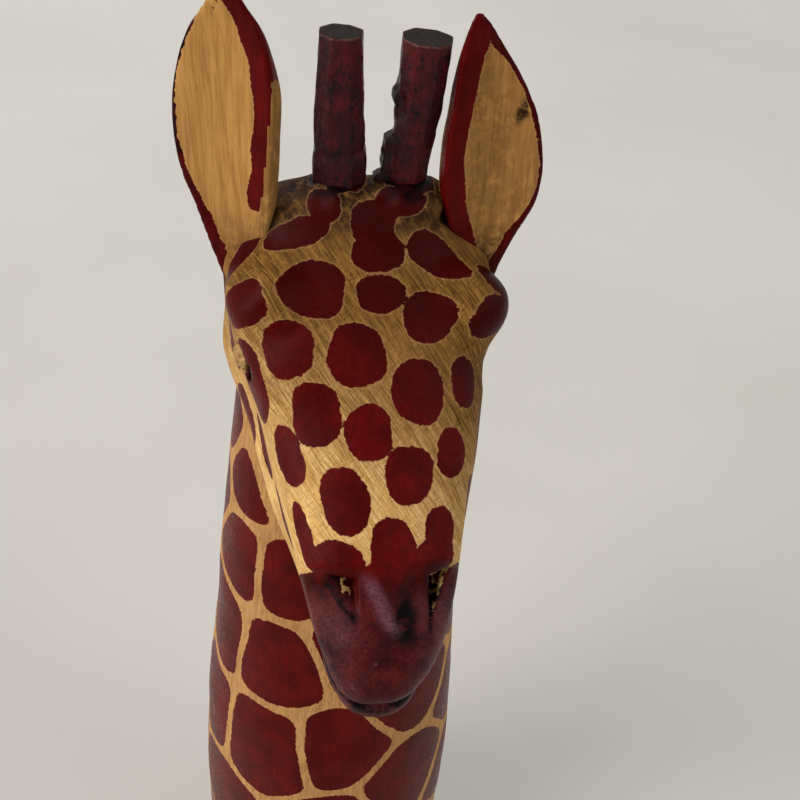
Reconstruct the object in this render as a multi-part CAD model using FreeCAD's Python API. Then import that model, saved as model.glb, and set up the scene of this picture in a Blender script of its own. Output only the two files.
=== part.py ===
import FreeCAD, Part
import math, os

V = FreeCAD.Vector

# Carved giraffe bust, millimetres. Face towards -Y, +Z up, origin at the centre of the cut foot.
FACE_TOP = V(0, -25.5, 248)  # where the brow line crosses the ridge of the face
FACE_FALL = 47.0             # face slope below the horizontal, degrees
DOWEL_R = 1.5
DOWEL_LEN = 12.0
EYE_R = 2.6
EYE_LEN = 6.0

FALL = math.radians(FACE_FALL)
ALONG = V(0, -math.cos(FALL), -math.sin(FALL))   # down the face, brow to lip
OUT = V(0, -math.sin(FALL), math.cos(FALL))      # out of the face


def face(s, x, n):
    """Point s down the face, x to the side, n out of the face plane."""
    return FACE_TOP + ALONG * s + V(x, 0, 0) + OUT * n


def closed_spline(points):
    curve = Part.BSplineCurve()
    curve.interpolate(Points=points, PeriodicFlag=True)
    return Part.Wire([curve.toShape()])


def loft(wires, ruled=False):
    return Part.makeLoft(wires, True, ruled)


def prism(points, push):
    return Part.Face(Part.makePolygon(points + [points[0]])).extrude(push)


def ring(count, power, half_w, up, down):
    """Rounded-square ring of (side, up) pairs, starting at the +side end."""
    pairs = []
    for i in range(count):
        a = 2 * math.pi * i / count
        c, s = math.cos(a), math.sin(a)
        k = (abs(c) ** power + abs(s) ** power) ** (-1.0 / power)
        pairs.append((half_w * k * c, (up if s >= 0 else down) * k * s))
    return pairs


# Neck: height, centre y, half width, half depth to the front, half depth to the back
NECK = [
    (0, 0, 34.5, 34.5, 34.5),
    (6, 0, 36.0, 36.0, 36.0),
    (35, 0, 36.8, 36.5, 36.5),
    (72, 0, 37.2, 37.0, 37.0),
    (105, 0, 35.6, 35.0, 35.6),
    (136, 0, 33.0, 31.8, 33.4),
    (173, 0, 30.2, 28.0, 30.6),
    (205, 0, 27.4, 24.5, 27.6),
    (230, 0, 24.6, 21.0, 23.0),
    (246, 0, 20.5, 16.0, 19.5),
    (254, 0, 14.0, 11.0, 13.5),
]


def neck():
    wires = []
    for z, cy, w, front, back in NECK:
        wires.append(closed_spline([V(x, cy + y, z) for x, y in ring(16, 2.15, w, back, front)]))
    return loft(wires)


# Head: distance down the face, sideways shift, ridge height over the face plane, half width, depth
HEAD = [
    (-30, -0.8, -14.5, 12, 12),
    (-26, -1.2, -6.0, 19.5, 25),
    (-20, -1.6, -0.6, 24.6, 33),
    (-12, -1.8, 0.0, 27.0, 40),
    (-2, -1.6, 0.0, 27.6, 45),
    (9, -1.0, 0.2, 26.4, 46),
    (20, 0.0, 0.0, 23.8, 43),
    (35, 0.4, 0.0, 20.8, 37),
    (50, 0.2, 0.4, 17.2, 30.5),
    (62, 0.0, 0.2, 14.4, 26),
    (71, 0.0, -1.6, 11.6, 22.5),
    (77.5, 0.0, -4.6, 8.0, 16),
]


def head():
    wires = []
    for s, shift, ridge, w, depth in HEAD:
        up, down = depth * 0.42, depth * 0.58
        mid = ridge - up
        wires.append(closed_spline([face(s, shift + x, mid + n) for x, n in ring(16, 2.6, w, up, down)]))
    return loft(wires)


def brow_bumps():
    """Bony lumps over the eyes; the right one is heavier."""
    left = Part.makeSphere(8.0, face(-1.5, -21.6, -6.6))
    right = Part.makeSphere(8.4, face(0.5, 19.6, -6.8))
    return [left, right]


def nostril(side):
    """Chiselled three-cornered nostril, deepest beside the ridge of the nose."""
    rim = [face(56, side * 12.6, 4), face(57.0, side * 6.0, 4), face(67, side * 6.6, 4)]
    return prism(rim, OUT * -8.0)


def mouth():
    """Wedge between the lips, open to the front and both sides."""
    pts = [face(64, -20, -12.2), face(84, -20, -11.4), face(84, -20, -14.0), face(64, -20, -12.8)]
    return prism(pts, V(40, 0, 0))


# Ear outlines, root to tip: (outwards, up) for the outer edge and for the inner edge
EAR_LEFT = [[(3.6, -8), (6.4, 0), (9.2, 8), (11.6, 16), (12.2, 24), (10.8, 31), (7.6, 38), (1.0, 47.5)],
            [(-3.6, -8), (-4.8, 0), (-5.3, 10), (-7.2, 22), (-8.2, 32), (-5.8, 40), (-0.6, 47.5)]]
EAR_RIGHT = [[(3.6, -8), (6.0, -1), (8.6, 4), (11.4, 9), (12.8, 16), (11.4, 24), (7.6, 33), (-1.0, 46.5)],
             [(-3.6, -8), (-5.4, 2), (-7.8, 12), (-7.8, 22), (-6.3, 31), (-4.2, 41), (-2.4, 46.5)]]
EAR_THICK = 7.0


def left_ear(outline, foot, up, front):
    """Leaf with a shallow hollow in front, a thick inner edge and a round back."""
    outer, inner = [[V(u, -12, v) for u, v in edge] for edge in outline]
    sides = []
    for pts in (outer, inner):
        curve = Part.BSplineCurve()
        curve.interpolate(Points=pts)
        sides.append(curve.toShape())
    wire = Part.Wire([sides[0], Part.makeLine(outer[-1], inner[-1]), sides[1].reversed(),
                      Part.makeLine(inner[0], outer[0])])
    leaf = Part.Face(wire).extrude(V(0, 14, 0))
    across = Part.makeCylinder(22, 90, V(0, 22 - EAR_THICK, -20), V(0, 0, 1))
    along = Part.makeSphere(80, V(0, 80 - EAR_THICK, 18))
    slab = Part.makeBox(60, 20, 90, V(-30, -20, -20))
    hollow = Part.makeCylinder(24, 70, V(2.0, 22.6, 4), V(0, 0, 1))
    shape = leaf.common(across).common(along).common(slab).cut(hollow)
    up = V(up).normalize()
    front = (V(front) - up * V(front).dot(up)).normalize()
    turn = FreeCAD.Rotation(front.cross(up), front, up, "XYZ")
    shape.Placement = FreeCAD.Placement(foot + front * 3.5, turn)
    return shape


# Horn sections: height, centre shift x, centre shift y, facet radii going round
HORN_LEFT = [
    (-3.0, 0.2, 0.0, (5.3, 5.0, 5.4, 5.2, 5.5, 5.1, 5.3, 5.0)),
    (6.0, 0.0, 0.1, (5.2, 5.0, 5.2, 5.3, 5.3, 4.9, 5.1, 5.2)),
    (17.0, -0.5, 0.4, (4.8, 5.0, 4.9, 4.7, 5.0, 4.9, 4.6, 4.9)),
    (31.0, -0.9, 0.8, (4.5, 4.3, 4.6, 4.4, 4.4, 4.6, 4.4, 4.3)),
]
HORN_RIGHT = [
    (-3.0, -0.4, 0.0, (4.8, 4.6, 4.9, 5.0, 4.8, 4.6, 4.9, 4.7)),
    (7.0, 0.0, 0.1, (4.6, 4.8, 4.7, 5.0, 4.9, 4.6, 4.7, 4.8)),
    (18.0, 1.1, 0.5, (4.7, 4.9, 4.8, 4.9, 5.1, 4.7, 4.6, 4.9)),
    (31.0, 1.7, 1.0, (4.8, 4.7, 4.9, 4.6, 4.7, 4.9, 4.8, 4.6)),
]


def horn(sections, foot):
    wires = []
    for v, dx, dy, radii in sections:
        count = len(radii)
        pts = []
        for i, r in enumerate(radii):
            a = 2 * math.pi * (i + 0.35) / count
            pts.append(foot + V(dx + r * math.cos(a), dy + r * math.sin(a), v))
        wires.append(Part.makePolygon(pts + [pts[0]]))
    return loft(wires, True)


# Torn wood: reach inwards, bottom, top
TORN_STEPS = [(7.2, -2.0, 3.2), (6.2, 3.0, 9.6), (5.4, 9.4, 13.8), (4.6, 13.6, 17.0)]


def torn_wood(foot):
    """Rough flake left on the inner side of the right horn, stepped like a broken edge."""
    steps = [Part.makeBox(reach, 2.8, top - low, foot + V(-reach, -1.4, low)) for reach, low, top in TORN_STEPS]
    return steps[0].fuse(steps[1:]).removeSplitter()


def dowel(point, axis, radius=DOWEL_R, length=DOWEL_LEN):
    axis = V(axis).normalize()
    return Part.makeCylinder(radius, length, point - axis * (length / 2), axis)


def eye(side):
    """Plug with a domed end, set square to the side of the head."""
    axis = V(side * 0.93, -0.34, -0.10).normalize()
    tip = face(13.5, side * 25.2, -9.0)
    rod = Part.makeCylinder(EYE_R, EYE_LEN, tip - axis * EYE_LEN, axis)
    return rod.common(Part.makeSphere(6.0, tip - axis * 6.0))


def one_solid(shape):
    shape = shape.removeSplitter() if len(shape.Solids) == 1 else shape
    solids = sorted(shape.Solids, key=lambda s: s.Volume)
    return solids[-1]


def build():
    ear_l_foot = V(-25.0, -9, 251)
    ear_r_foot = V(22.5, -9, 250)
    ear_l_up, ear_r_up = V(-0.05, 0.08, 1), V(-0.05, 0.08, 1)
    ear_left = left_ear(EAR_LEFT, ear_l_foot, ear_l_up, V(-0.42, -0.88, 0.1))
    flipped = left_ear(EAR_RIGHT, V(-ear_r_foot.x, ear_r_foot.y, ear_r_foot.z),
                       V(-ear_r_up.x, ear_r_up.y, ear_r_up.z), V(-0.12, -0.98, 0.1))
    ear_right = flipped.mirror(V(0, 0, 0), V(1, 0, 0))
    horn_l_foot = V(-6.4, -6, 261.5)
    horn_r_foot = V(7.4, -6, 261)
    horn_left = horn(HORN_LEFT, horn_l_foot)
    stick, flake = horn(HORN_RIGHT, horn_r_foot), torn_wood(horn_r_foot)
    horn_right = one_solid(stick.fuse(flake))

    n, h = neck(), head()
    block = n.fuse(h)
    for lump in brow_bumps():
        block = block.fuse(lump)
    for side in (-1, 1):
        block = block.cut(nostril(side))
    block = block.cut(mouth())

    pins = {
        "ear_left_dowel": dowel(ear_l_foot - ear_l_up * 8, ear_l_up),
        "ear_right_dowel": dowel(ear_r_foot - ear_r_up * 8, ear_r_up),
        "horn_left_dowel": dowel(horn_l_foot + V(0.2, 0, -3), V(0, 0, 1)),
        "horn_right_dowel": dowel(horn_r_foot + V(-0.4, 0, -3), V(0, 0, 1)),
    }
    parts = {"ear_left": ear_left, "ear_right": ear_right, "horn_left": horn_left, "horn_right": horn_right}
    for name in parts:
        parts[name] = one_solid(parts[name].cut(pins[name + "_dowel"]))
    for side, name in ((-1, "eye_left"), (1, "eye_right")):
        parts[name] = eye(side)
    for fixed in (flake, ear_left, ear_right, horn_left, stick, parts["eye_left"], parts["eye_right"]):
        block = block.cut(fixed)
    for pin in pins.values():
        block = block.cut(pin)
    parts["carved_block"] = one_solid(block)
    parts.update(pins)
    return parts


def main():
    os.makedirs("parts", exist_ok=True)
    for name, shape in build().items():
        shape.exportStep("parts/" + name + ".step")
        box = shape.BoundBox
        print("%-18s valid %s solids %d volume %.0f  x %.1f..%.1f  y %.1f..%.1f  z %.1f..%.1f" % (
            name, shape.isValid(), len(shape.Solids), shape.Volume,
            box.XMin, box.XMax, box.YMin, box.YMax, box.ZMin, box.ZMax))


main()
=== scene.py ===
import bpy
import math
import numpy as np
from mathutils import Matrix, Vector


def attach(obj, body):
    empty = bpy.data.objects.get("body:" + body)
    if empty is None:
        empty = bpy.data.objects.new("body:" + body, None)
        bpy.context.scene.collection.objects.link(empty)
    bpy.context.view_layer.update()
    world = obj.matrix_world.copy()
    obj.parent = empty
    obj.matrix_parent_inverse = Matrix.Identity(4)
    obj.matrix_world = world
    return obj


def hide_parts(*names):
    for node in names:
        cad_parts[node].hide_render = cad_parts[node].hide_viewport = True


# Carved giraffe bust. Shapes are worked out in millimetres in the CAD frame
# (face towards -Y, +Z up) and turned into metres when the mesh is made.
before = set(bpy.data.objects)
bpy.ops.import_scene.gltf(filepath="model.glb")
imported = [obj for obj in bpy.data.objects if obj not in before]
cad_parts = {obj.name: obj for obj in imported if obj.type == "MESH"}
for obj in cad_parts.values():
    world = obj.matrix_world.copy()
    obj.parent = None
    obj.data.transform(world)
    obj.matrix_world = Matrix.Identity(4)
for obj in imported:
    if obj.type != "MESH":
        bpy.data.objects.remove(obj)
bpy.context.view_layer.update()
MM = 0.001

# Head coordinates: s down the face from the brow line, x to the side, n out of the face.
FACE_FALL = math.radians(47.0)
FACE_TOP = np.array([0, -25.5, 248.0])
ALONG = np.array([0, -math.cos(FACE_FALL), -math.sin(FACE_FALL)])
OUT = np.array([0, -math.sin(FACE_FALL), math.cos(FACE_FALL)])

HORN_FEET = {"horn_left": (-6.4, -6, 261.5), "horn_right": (7.4, -6, 261)}
MUZZLE_AT = 52.8      # s where the dark muzzle starts
LIP_LINE = 63         # s where the mouth cut starts


def face(s, x, n):
    return FACE_TOP + ALONG * s + np.array([x, 0, 0]) + OUT * n


# Tips of the eye plugs, and the dark hole under the left one.
EYE_TIPS = {-1: face(9.9, -26.9, -11.4), 1: face(13.5, 22.8, -12.5)}
EYE_HOLE = face(12.7, -25.3, -10.2)
# Nostrils: (s, x) of the upper outer corner, the corner by the bridge and the lower end; then the depth.
NOSTRILS = {
    -1: ((53.6, -12.4), (55.0, -5.8), (62.6, -6.0), 5.0),
    1: ((52.4, 14.9), (55.0, 8.4), (65.6, 9.2), 7.2),
}


# ---- small maths
HASH_X, HASH_Y, HASH_Z = 374761393, 668265263, 974634777
HASH_SEED, HASH_MIX, WORD = 362437, 1274126177, 0xFFFFFFFF


def corner_value(a, b, c, seed):
    """Repeatable value in -1..1 for a corner of the noise grid."""
    n = (a * HASH_X + b * HASH_Y + c * HASH_Z + seed * HASH_SEED) & WORD
    n = ((n ^ (n >> 13)) * HASH_MIX) & WORD
    return ((n ^ (n >> 16)) & 0xFFFF) / 32767.5 - 1


def noise(p, cell, seed):
    """Smooth value noise, -1..1, on a grid of the given cell size."""
    q = np.asarray(p, float) / cell
    i = np.floor(q).astype(np.int64)
    f = q - i
    f = f * f * (3 - 2 * f)
    x, y, z = i.T
    u, v, w = f.T

    def layer(k):
        near = corner_value(x, y, k, seed) * (1 - u) + corner_value(x + 1, y, k, seed) * u
        far = corner_value(x, y + 1, k, seed) * (1 - u) + corner_value(x + 1, y + 1, k, seed) * u
        return near * (1 - v) + far * v

    return layer(z) * (1 - w) + layer(z + 1) * w


def smin(a, b, k):
    """Smaller of two fields, blended over k millimetres."""
    h = np.clip(0.5 + 0.5 * (b - a) / k, 0, 1)
    return b * (1 - h) + a * h - k * h * (1 - h)


def smax(a, b, k):
    return -smin(-a, -b, k)


def smooth(a, b, v):
    """0 where v is at a, 1 where it is at b, an S-curve between."""
    t = np.clip((v - a) / (b - a), 0, 1)
    return t * t * (3 - 2 * t)


def hump(v, centre, width):
    return np.exp(-((v - centre) / width) ** 2)


def spline(keys, values, q):
    """Cubic curve through (key, value) pairs, its slopes taken from the neighbours."""
    keys, values = np.asarray(keys, float), np.asarray(values, float)
    slope = np.gradient(values, keys)
    i = np.clip(np.searchsorted(keys, q) - 1, 0, len(keys) - 2)
    h = keys[i + 1] - keys[i]
    t = np.clip((q - keys[i]) / h, 0, 1)
    start = (2 * t ** 3 - 3 * t ** 2 + 1) * values[i] + (t ** 3 - 2 * t ** 2 + t) * h * slope[i]
    end = (-2 * t ** 3 + 3 * t ** 2) * values[i + 1] + (t ** 3 - t ** 2) * h * slope[i + 1]
    return start + end


def fine(keys, values, step=0.25):
    q = np.arange(keys[0], keys[-1] + step / 2, step)
    return q, spline(keys, values, q)


def unit(v):
    return v / np.linalg.norm(v)


def reach(offsets, radii, power):
    """1 on a rounded-square outline of the given half sizes, less inside it, more outside."""
    total = sum(np.abs(o / r) ** power for o, r in zip(offsets, radii))
    return np.maximum(total ** (1 / power), 1e-3)


def lump(offsets, radii, power):
    """Rough signed distance to that outline, in millimetres."""
    return np.sqrt(sum(o ** 2 for o in offsets)) * (1 - 1 / reach(offsets, radii, power))


def ball(p, centre, radii):
    r = np.linalg.norm((p - centre) / np.asarray(radii, float), axis=1)
    return (r - 1) * np.min(radii)


# ---- carved block
# height, half width, half depth to the front, half depth to the back
NECK = np.array([
    (0, 34.5, 34.5, 34.5), (6, 36, 36, 36), (35, 36.8, 36.5, 36.5), (72, 37.2, 37, 37),
    (105, 35.6, 35, 35.6), (136, 33, 31.8, 33.4), (173, 30.2, 28, 30.6), (205, 27.4, 24.5, 27.6),
    (230, 24.6, 21, 23), (246, 20.5, 16, 19.5), (254, 14, 11, 13.5)])
NECK_POWER = 2.15
# down the face, sideways shift, ridge height, half width, depth
HEAD = np.array([
    (-30, -0.8, -14.5, 12, 12), (-26, -1.2, -6, 19.5, 25), (-20, -1.6, -0.6, 24.6, 33),
    (-12, -1.8, 0, 27, 40), (-2, -1.6, 0, 27.6, 45), (9, -1, 0.2, 26.4, 46), (20, 0, 0, 23.8, 43),
    (35, 0.4, 0, 20.8, 37), (50, 0.2, 0.4, 17.2, 30.5), (62, 0, 0.1, 14.2, 26),
    (70, -0.3, -1.3, 11.6, 23), (75, -0.8, -3.2, 9.2, 20), (78, -1.2, -5.2, 6.6, 16),
    (80, -1.4, -7.4, 3.6, 11)])
HEAD_POWER = 2.6
UPPER_SHARE = 0.42    # part of the head's depth above its widest line
NECK_CURVES = [fine(NECK[:, 0], NECK[:, k]) for k in (1, 2, 3)]
HEAD_CURVES = [fine(HEAD[:, 0], HEAD[:, k]) for k in (1, 2, 3, 4)]
CROWN_FROM = 236      # height over which ears and horn feet may meet the block
# facets cut from the crown down to the ears, each through three (s, x, n) points
EAR_FACETS = (
    ((-17, 8.5, 0.2), (-5.5, 24.0, -2.5), (-17, 22, -11)),
    ((-17.5, -18.5, -1.5), (-7, -28.5, -7), (-17.5, -26, -9)),
)


def face_coords(p):
    y, z = p[:, 1] - FACE_TOP[1], p[:, 2] - FACE_TOP[2]
    return y * ALONG[1] + z * ALONG[2], p[:, 0], y * OUT[1] + z * OUT[2]


def neck_field(p):
    x, y, z = p.T
    w, front, back = [np.interp(z, *curve) for curve in NECK_CURVES]
    d = lump((x, y), (w, np.where(y < 0, front, back)), NECK_POWER)
    return smax(smax(d, -z, 1.2), z - NECK[-1, 0], 5)


def head_section(s):
    shift, ridge, w, depth = [np.interp(s, *curve) for curve in HEAD_CURVES]
    return shift, ridge, w, depth * UPPER_SHARE, depth * (1 - UPPER_SHARE)


def bridge_width(s):
    """1 where the nostrils start, falling to 0 where the flanks of the bridge meet."""
    return 1 - (s - 53) / 12.5


def head_field(p):
    s, x, n = face_coords(p)
    shift, ridge, w, up, down = head_section(s)
    dx, dn = x - shift, n - (ridge - up)
    cheek = smooth(0, 9, -dn) * smooth(-8, 6, s) * smooth(62, 34, s)
    flat_right = 0.8 * hump(s, 42, 14.0) * smooth(-2, 10, dx)
    boxy_left = 1.1 * hump(s, 12, 8.0) * smooth(4, -8, dx) * smooth(-6, 2, dn)
    w = w + 1.9 * cheek - flat_right
    d = lump((dx, dn), (w, np.where(dn > 0, up, down)), HEAD_POWER + 0.9 * cheek + boxy_left)
    d = smax(smax(d, -29.5 - s, 5), s - 79.5, 1.5)
    # the bridge of the nose ends in a V between the nostrils
    left = x < 1.2
    wide = bridge_width(s)
    off = np.where(left, 1.2 - x - 6.6 * wide, x - 1.2 - 4.6 * wide)
    dip = smooth(51.5, 56, s) * (1 - 0.75 * smooth(61, 69, s)) * smooth(-2.4, 0.5, off)
    return d + np.where(left, 2.8, 2.1) * dip * smooth(-9, -4, n)


def above(p, a, b, c):
    """Signed distance over the plane through three (s, x, n) points, positive out of the face."""
    a, b, c = np.array([a, b, c], float)
    m = np.cross(b - a, c - a)
    m = m / np.linalg.norm(m) * (1 if m[2] > 0 else -1)
    return sum((q - start) * part for q, start, part in zip(face_coords(p), a, m))


def nostril_cut(p, side):
    """Chisel cut, negative inside: a steep wall by the bridge and a floor sloping down to it."""
    s, x, n = face_coords(p)
    top, corner, end, deep = NOSTRILS[side]
    wall = -side * (x - corner[1])
    slant = (top[0] - corner[0]) * (x - corner[1]) / (top[1] - corner[1])
    upper = slant - (s - corner[0])
    floor = above(p, (*top, -3.4), (*end, -2.4), (*corner, -deep - 1.5))
    return np.maximum(np.maximum(wall, upper), -floor)


def mouth_cut(p):
    s, x, n = face_coords(p)
    mid = -12.5 - 0.012 * (s - 64)
    gap = 0.25 + 1.75 * smooth(LIP_LINE, 79, s) + 0.40 * noise(p, 1.4, 5) * smooth(66, 74, s)
    return np.maximum(np.abs(n - mid) - gap, LIP_LINE - s)


def eye_axis(p, side):
    """Distance along a plug's axis from its tip, and away from the axis."""
    axis = unit(np.array([side * 0.80, -0.58, 0.12]))
    q = p - EYE_TIPS[side]
    a = q @ axis
    return a, np.sqrt(np.maximum((q ** 2).sum(1) - a ** 2, 0))


def lower_lip(p):
    s, x, n = face_coords(p)
    return lump((s - 71.2, x + 0.4, n + 18.4), (12.9, 9.6, 5.6), 2.3)


def block_field(p):
    head = smin(head_field(p), ball(p, face(-1.5, -21.4, -6.9), (8, 8, 8)), 5)       # left brow
    head = smin(head, ball(p, face(0.5, 19.8, -7.2), (8.6, 8.4, 8.4)), 5)            # right brow
    head = smin(head, lower_lip(p), 3.5)
    for corners in EAR_FACETS:
        head = smax(head, above(p, *corners), 1.6)
    f = smin(neck_field(p), head, 3.5)
    for side, tip in EYE_TIPS.items():
        socket = tip + np.array([side * 2.4, -0.3, 0])
        f = smax(f, -ball(p, socket, (3.3, 3.3, 2.8)), 1.2)
    f = smax(f, -ball(p, EYE_HOLE, (2.6, 2.5, 2.1)), 0.5)
    for side in NOSTRILS:
        f = smax(f, -nostril_cut(p, side), 0.35)
    return smax(f, -mouth_cut(p), 0.3)


def crown_extras(f, p):
    """The block's field joined with the feet of the ears and the glue standing up round the horns."""
    for side in EARS:
        f = smin(f, ear_field(p, side, foot_only=True), 3.0)
    for foot in HORN_FEET.values():
        collar = ball(p, np.array([foot[0], -6.8, 260.3]), (8.6, 8.0, 4.7))
        f = smin(f, collar + 0.35 * noise(p, 2.6, 46), 2.0)
    return f


def block_shape(p):
    f = block_field(p)
    crown = p[:, 2] > CROWN_FROM
    if crown.any():
        f[crown] = crown_extras(f[crown], p[crown])
    return f + 0.28 * noise(p, 17, 1) + 0.13 * noise(p, 7, 2)


# ---- ears
# Each ear is laid out as the left one: u outwards, v up, w to the front. Outlines are (u, v) points,
# the outer edge first and then the inner edge; the right ear is mirrored.
EARS = {
    -1: dict(foot=(-25.0, -9, 251), up=(-0.05, 0.08, 1), front=(-0.42, -0.88, 0.1), tip=51.8, outline=(
        [(3.6, -8), (6.4, 0), (9.2, 8), (11.6, 16), (12.3, 24), (11.3, 32), (8.6, 40), (1.2, 52)],
        [(-3.6, -8), (-5.4, 0), (-7.0, 10), (-8.2, 22), (-8.6, 33), (-6.6, 42), (-0.6, 52)])),
    1: dict(foot=(-22.5, -9, 250), up=(0.05, 0.08, 1), front=(-0.12, -0.98, 0.1), tip=49.2, outline=(
        [(3.6, -8), (6.0, -1), (8.6, 4), (11.4, 9), (12.8, 16), (11.6, 25), (7.8, 34.5), (-2.6, 49.4)],
        [(-3.6, -8), (-5.4, 2), (-7.8, 12), (-7.8, 22), (-6.6, 32), (-5.3, 42), (-4.0, 49.4)])),
}
EAR_REACH = 3.5       # front of the ear blade ahead of its foot


def lay_out(ear):
    """Adds an ear's axes, its base point and its finely stepped edges."""
    up = unit(np.array(ear["up"], float))
    front = np.array(ear["front"], float)
    front = unit(front - up * front.dot(up))
    ear["axes"] = (np.cross(front, up), front, up)
    ear["base"] = np.array(ear["foot"], float) + front * EAR_REACH
    ear["edges"] = []
    for points in ear["outline"]:
        u, v = np.array(points, float).T
        ear["edges"].append(fine(v, u, 0.5))


for ear in EARS.values():
    lay_out(ear)


def mirrored(point, side):
    return np.asarray(point, float) * (-side, 1, 1)


def ear_local(p, side):
    """(u, w, v) of a point in the ear's own frame."""
    q = mirrored(p, side) - EARS[side]["base"]
    return [q @ axis for axis in EARS[side]["axes"]]


def ear_edges(side, v):
    return [np.interp(v, *edge) for edge in EARS[side]["edges"]]


def ear_field(p, side, foot_only=False):
    u, w, v = ear_local(p, side)
    outer, inner = ear_edges(side, v)
    tip = EARS[side]["tip"]
    d = smax(u - outer, inner - u, 1.5) * 0.93
    d = smax(d, v - tip, 1.2)
    # the back is round across and bends forward lengthwise
    back = np.hypot(u, w - 15) - 22
    back = smax(back, np.sqrt(u ** 2 + (w - 73) ** 2 + (v - 18) ** 2) - 80, 2)
    d = smax(d, back, 1.8)
    d = smax(d, w, 0.9)
    # the front is scooped out, less at the foot and the tip
    scoop = 24 - np.hypot(u - 2.0, w - 22.6)
    deep = smooth(-2, 9, v) * (1 - smooth(tip - 9, tip - 1, v))
    d = smax(d, scoop - 1.5 * (1 - deep), 1.0)
    if foot_only:
        return smax(d, v - 1.5, 2.5) + 0.6
    d = smax(d, -9 - v, 1)
    return d + 0.16 * noise(p, 8, 31) + 0.07 * noise(p * np.array([1, 1, 0.3]), 1.6, 32)


# ---- surface from a field
SLAB = 6              # grid layers worked out at a time
PROBE = 0.12          # step for a field's slope
LONGEST_MOVE = 0.25


def sample_grid(xs, ys, zs, field):
    f = np.empty((len(xs), len(ys), len(zs)), np.float32)
    yy, zz = np.meshgrid(ys, zs, indexing="ij")
    for i in range(0, len(xs), SLAB):
        part = xs[i:i + SLAB]
        columns = (np.repeat(part, yy.size), np.tile(yy.ravel(), len(part)), np.tile(zz.ravel(), len(part)))
        f[i:i + SLAB] = field(np.stack(columns, 1)).reshape(len(part), len(ys), len(zs))
    return f


def crossing_centres(f, cells, grid):
    """For each cell the mean of the points where its twelve edges cross the surface."""
    total, hits = np.zeros((len(cells), 3)), np.zeros(len(cells))
    for axis in range(3):
        for b in (0, 1):
            for c in (0, 1):
                start = cells.copy()
                start[:, (axis + 1) % 3] += b
                start[:, (axis + 2) % 3] += c
                end = start.copy()
                end[:, axis] += 1
                f0, f1 = f[tuple(start.T)], f[tuple(end.T)]
                crossed = (f0 < 0) != (f1 < 0)
                t = f0 / np.where(crossed, f0 - f1, 1)
                point = np.stack([grid[k][start[:, k]] for k in range(3)], 1)
                point[:, axis] += t * (grid[axis][end[:, axis]] - grid[axis][start[:, axis]])
                total += point * crossed[:, None]
                hits += crossed
    return total / hits[:, None]


def surface_quads(inside, ids):
    """One quad round each grid edge that crosses the surface, wound to face outwards."""
    quads = []
    for axis in range(3):
        b, c = (axis + 1) % 3, (axis + 2) % 3
        low = [slice(1, n - 1) for n in inside.shape]
        high = list(low)
        low[axis], high[axis] = slice(0, inside.shape[axis] - 1), slice(1, inside.shape[axis])
        first, second = inside[tuple(low)], inside[tuple(high)]
        edges = np.argwhere(first != second)
        outwards = first[tuple(edges.T)]
        ring = []
        for db, dc in ((0, 0), (1, 0), (1, 1), (0, 1)):
            cell = edges.copy()
            cell[:, b] += db
            cell[:, c] += dc
            ring.append(ids[tuple(cell.T)])
        ring = np.stack(ring, 1)
        ring[~outwards] = ring[~outwards][:, ::-1]
        quads.append(ring)
    return np.concatenate(quads)


def pull_to_surface(verts, field):
    """One damped Newton step towards the zero of the field."""
    base = field(verts)
    rises = [field(verts + step) - field(verts - step) for step in np.eye(3) * PROBE]
    grad = np.stack(rises, 1) / (2 * PROBE)
    size = np.maximum((grad ** 2).sum(1), 0.2)
    move = -grad * (base / size)[:, None] * 0.9
    length = np.linalg.norm(move, axis=1)
    return verts + move * np.minimum(1, LONGEST_MOVE / np.maximum(length, 1e-9))[:, None]


def surface_nets(xs, ys, zs, field, steps=3):
    f = sample_grid(xs, ys, zs, field)
    inside = f < 0
    nx, ny, nz = f.shape
    count = np.zeros((nx - 1, ny - 1, nz - 1), np.int8)
    for a in (0, 1):
        for b in (0, 1):
            for c in (0, 1):
                count += inside[a:nx - 1 + a, b:ny - 1 + b, c:nz - 1 + c]
    cells = np.argwhere((count > 0) & (count < 8))
    ids = np.full(count.shape, -1, np.int64)
    ids[tuple(cells.T)] = np.arange(len(cells))
    verts = crossing_centres(f, cells, (xs, ys, zs))
    quads = surface_quads(inside, ids)
    for _ in range(steps):
        verts = pull_to_surface(verts, field)
    return verts, quads


def spaced(*runs):
    """Grid lines from (start, end, step) runs."""
    lines = [np.linspace(a, b, max(2, int(round((b - a) / step)) + 1)) for a, b, step in runs]
    return np.unique(np.round(np.concatenate(lines), 4))


def make(name, verts, faces, node, attrs=()):
    """Mesh object from millimetre points, riding on the root body in place of a CAD node."""
    me = bpy.data.meshes.new(name)
    me.from_pydata((np.asarray(verts) * MM).tolist(), [], [list(map(int, q)) for q in faces])
    me.polygons.foreach_set("use_smooth", [True] * len(me.polygons))
    for key, value in dict(attrs).items():
        value = np.asarray(value, np.float32)
        vector = value.ndim == 2
        a = me.attributes.new(key, "FLOAT_VECTOR" if vector else "FLOAT", "POINT")
        a.data.foreach_set("vector" if vector else "value", value.ravel())
    me.update()
    ob = bpy.data.objects.new(name, me)
    bpy.context.collection.objects.link(ob)
    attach(ob, "root")
    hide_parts(node)
    return ob


# ---- painted pattern
ARC_POWER = 2.6


def arc_table():
    """Lengths along a rounded-square quarter outline, by height over width and angle from its top."""
    aspects = np.linspace(0.3, 2.6, 24)
    angles = np.linspace(0, math.pi / 2, 91)
    table = np.zeros((len(aspects), len(angles)))
    r = (np.sin(angles) ** ARC_POWER + np.cos(angles) ** ARC_POWER) ** (-1 / ARC_POWER)
    for i, aspect in enumerate(aspects):
        points = np.stack([np.sin(angles) * r, np.cos(angles) * r * aspect], 1)
        table[i, 1:] = np.cumsum(np.linalg.norm(np.diff(points, axis=0), axis=1))
    return aspects, angles, table


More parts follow.
